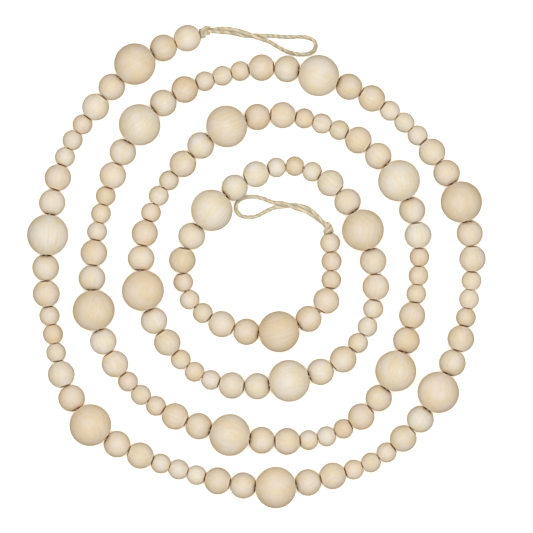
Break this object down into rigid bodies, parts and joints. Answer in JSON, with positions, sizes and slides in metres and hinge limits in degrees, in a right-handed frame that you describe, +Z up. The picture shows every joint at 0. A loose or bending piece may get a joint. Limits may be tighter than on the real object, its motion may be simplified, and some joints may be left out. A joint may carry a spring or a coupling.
{
  "type": "wood bead garland",
  "caption": "Long string of round, pale wood beads in three sizes, laid down as a flat coil, with a knotted twine loop at each end.",
  "frame": {"origin": "on the surface it lies on, in the middle of the box round the beads", "axes": "+Z up from the surface; +Y along the longer side of the coil, towards the outer loop; +X to the right seen from above"},
  "size_m": [0.2798, 0.2949, 0.025],
  "materials": {
    "wood": "pale unfinished turned wood, sanded smooth",
    "twine": "natural jute twine, plied and slightly hairy"
  },
  "bodies": {
    "root": {"medium_pair_01": "wood", "large_bead_01": "wood", "run_of_five_01": "wood", "medium_pair_02": "wood", "large_bead_02": "wood", "run_of_five_02": "wood", "medium_pair_03": "wood", "large_bead_03": "wood", "run_of_five_03": "wood", "medium_pair_04": "wood", "large_bead_04": "wood", "run_of_five_04": "wood", "medium_pair_05": "wood", "large_bead_05": "wood", "run_of_five_05": "wood", "medium_pair_06": "wood", "large_bead_06": "wood", "run_of_five_06": "wood", "medium_pair_07": "wood", "large_bead_07": "wood", "run_of_five_07": "wood", "medium_pair_08": "wood", "large_bead_08": "wood", "run_of_five_08": "wood", "medium_pair_09": "wood", "large_bead_09": "wood", "run_of_five_09": "wood", "medium_pair_10": "wood", "large_bead_10": "wood", "run_of_five_10": "wood", "medium_pair_11": "wood", "large_bead_11": "wood", "run_of_five_11": "wood", "medium_pair_12": "wood", "large_bead_12": "wood", "run_of_five_12": "wood", "medium_pair_13": "wood", "large_bead_13": "wood", "run_of_five_13": "wood", "medium_pair_14": "wood", "large_bead_14": "wood", "run_of_five_14": "wood", "medium_pair_15": "wood", "large_bead_15": "wood", "run_of_five_15": "wood", "medium_pair_16": "wood", "large_bead_16": "wood", "run_of_five_16": "wood", "medium_pair_17": "wood", "large_bead_17": "wood", "run_of_five_17": "wood", "medium_pair_18": "wood", "large_bead_18": "wood", "run_of_five_18": "wood", "knot_outer": "twine", "loop_outer": "twine", "knot_inner": "twine", "loop_inner": "twine"}
  },
  "joints": []
}
